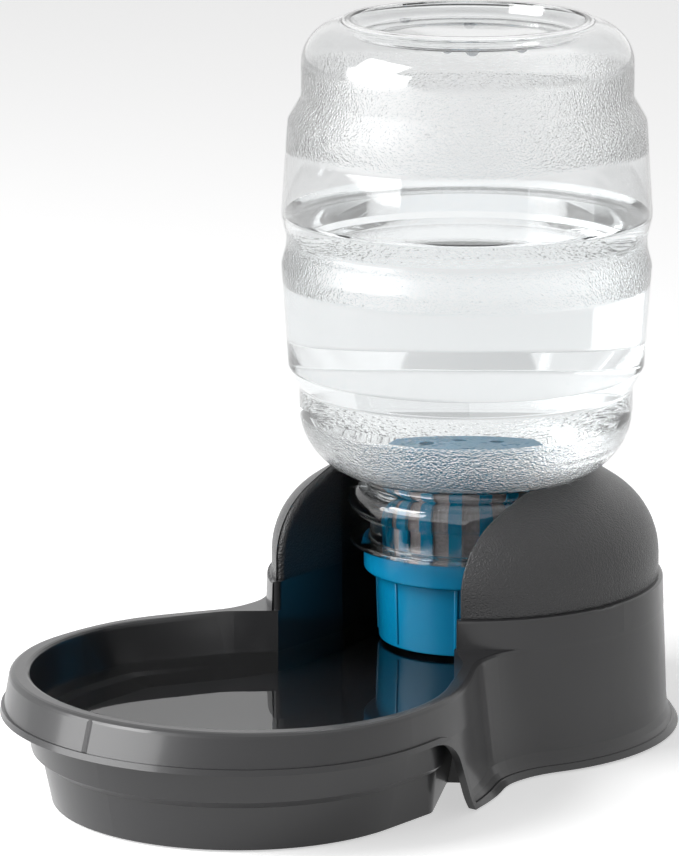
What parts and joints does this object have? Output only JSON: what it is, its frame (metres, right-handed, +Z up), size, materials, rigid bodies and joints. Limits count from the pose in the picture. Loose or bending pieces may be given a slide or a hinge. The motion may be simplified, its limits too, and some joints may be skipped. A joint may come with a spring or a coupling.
{
  "type": "gravity pet water dispenser",
  "caption": "Free-standing gravity waterer for pets: a moulded bowl and domed tower in one shell, with an upturned clear bottle, a screw cap with a spout and a filter basket.",
  "frame": {"origin": "on the floor under the middle of the whole product's outline", "axes": "+Z up, -Y towards the bowl's front where the pet drinks, +X to the right seen from the front"},
  "size_m": [0.2068, 0.359, 0.3235],
  "materials": {
    "base_plastic": "leather-grained tower and satin skirt, charcoal",
    "rubber_feet": "plain rubber",
    "clear_bottle": "clear blown plastic",
    "cap_plastic": "satin blue",
    "gasket_rubber": "plain white silicone",
    "basket_plastic": "satin blue",
    "filter_media": "pressed grey-brown fibre"
  },
  "bodies": {
    "base": {"base_body": "base_plastic", "foot_front_left": "rubber_feet", "foot_front_right": "rubber_feet", "foot_rear_left": "rubber_feet", "foot_rear_right": "rubber_feet", "bottle": "clear_bottle"},
    "filter": {"filter_basket": "basket_plastic", "basket_lid": "basket_plastic", "filter_cartridge": "filter_media", "cap_gasket": "gasket_rubber"},
    "cap": {"bottle_cap": "cap_plastic"}
  },
  "joints": [
    {"name": "filter_drop", "type": "slide", "parent": "base", "child": "filter", "axis": [0, 0, -1], "range_m": [0, 0.006]},
    {"name": "cap_turn", "type": "hinge", "parent": "filter", "child": "cap", "pos_m": [0, 0.08115, 0.0753], "axis": [0, 0, -1], "range_deg": [0, 540]}
  ],
  "couplings": [
    {"joint": "filter_drop", "follows": "cap_turn", "m_per_rad": 0.000636}
  ]
}
